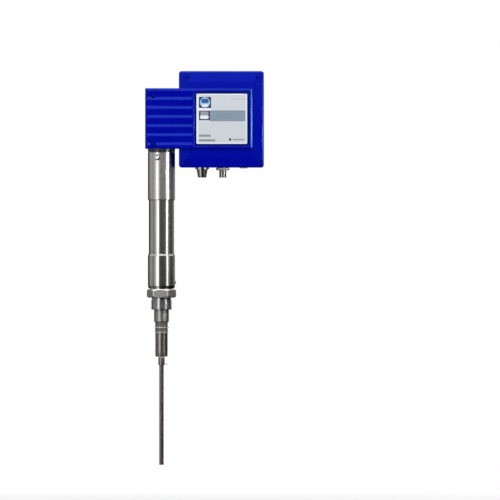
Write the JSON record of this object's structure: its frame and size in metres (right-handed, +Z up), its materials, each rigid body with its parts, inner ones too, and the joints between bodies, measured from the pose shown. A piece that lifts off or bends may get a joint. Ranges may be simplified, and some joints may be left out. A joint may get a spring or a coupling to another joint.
{
  "type": "electrode level sensor",
  "caption": "Screw-in rod level probe: stainless stem with a hexagon and pipe thread, guard sleeve and thin rod below, and a blue ribbed terminal box that swivels on top.",
  "frame": {"origin": "on the stem axis at the upper end of the process thread, one relief groove below the hexagon", "axes": "+Z up the stem towards the terminal box, +X from the stem towards the box, the label faces -Y"},
  "size_m": [0.1923, 0.072, 0.6377],
  "materials": {
    "stem_steel": "turned and polished stainless steel",
    "screw_steel": "bright stainless fasteners",
    "screw_coat": "dark blue coating on the cover screws",
    "electrode_steel": "drawn stainless steel, slightly warm",
    "spring_steel": "dark spring steel",
    "white_ptfe": "waxy white fluoropolymer",
    "bush_plastic": "grey-brown insulating plastic",
    "black_rubber": "matt black elastomer",
    "blue_paint": "semi-gloss ultramarine paint on die-cast aluminium",
    "label_print": "satin light grey print with a white border",
    "nickel": "nickel-plated brass",
    "black_plastic": "black moulded plastic",
    "gold_contact": "gold-plated contacts",
    "brass_plain": "plain turned brass",
    "board_green": "green solder mask",
    "terminal_plastic": "green moulded terminal body",
    "cable_jacket": "smooth light jacket",
    "capacitor_sleeve": "dark blue sleeve",
    "led_lens": "tinted lens",
    "vent_plastic": "mid grey plastic"
  },
  "bodies": {
    "stem": {"process_body": "stem_steel", "lower_sleeve": "stem_steel", "stem_tube": "stem_steel", "upper_sleeve": "stem_steel", "locking_screw": "screw_steel", "drain_screw": "screw_steel", "electrode_core": "electrode_steel", "inner_insulator": "white_ptfe", "guard_electrode": "electrode_steel", "insulating_bush": "bush_plastic", "retaining_rings": "screw_steel", "gland_insulator": "white_ptfe", "disc_springs": "spring_steel", "gland_washer": "screw_steel", "gland_nut": "screw_steel", "core_nut": "brass_plain", "tip_washer": "white_ptfe", "rod_coupling": "electrode_steel", "locking_pin": "screw_steel", "measuring_rod": "electrode_steel", "cable_spacer": "white_ptfe"},
    "head": {"housing_base": "blue_paint", "housing_cover": "blue_paint", "cover_gasket": "black_rubber", "cover_screws": "screw_coat", "label_plate": "label_print", "swivel_spigot": "stem_steel", "spigot_nut": "screw_steel", "spigot_o_rings": "black_rubber", "swivel_seal": "black_rubber", "cable_socket": "black_plastic", "sensor_cable": "cable_jacket", "connector_leads": "cable_jacket", "circuit_board": "board_green", "board_screws": "screw_steel", "processor_chip": "black_plastic", "power_module": "black_plastic", "capacitors": "capacitor_sleeve", "status_leds": "led_lens", "terminal_block": "terminal_plastic", "socket_shell": "nickel", "socket_insert": "black_plastic", "socket_contacts": "gold_contact", "plug_shell": "nickel", "plug_insert": "black_plastic", "plug_pins": "gold_contact", "connector_nuts": "nickel", "connector_seals": "black_rubber", "vent_plug": "vent_plastic", "earth_screw": "brass_plain"}
  },
  "joints": [
    {"name": "head_swivel", "type": "hinge", "parent": "stem", "child": "head", "pos_m": [0, 0, 0.2392], "axis": [0, 0, 1], "range_deg": [-180, 180]}
  ]
}
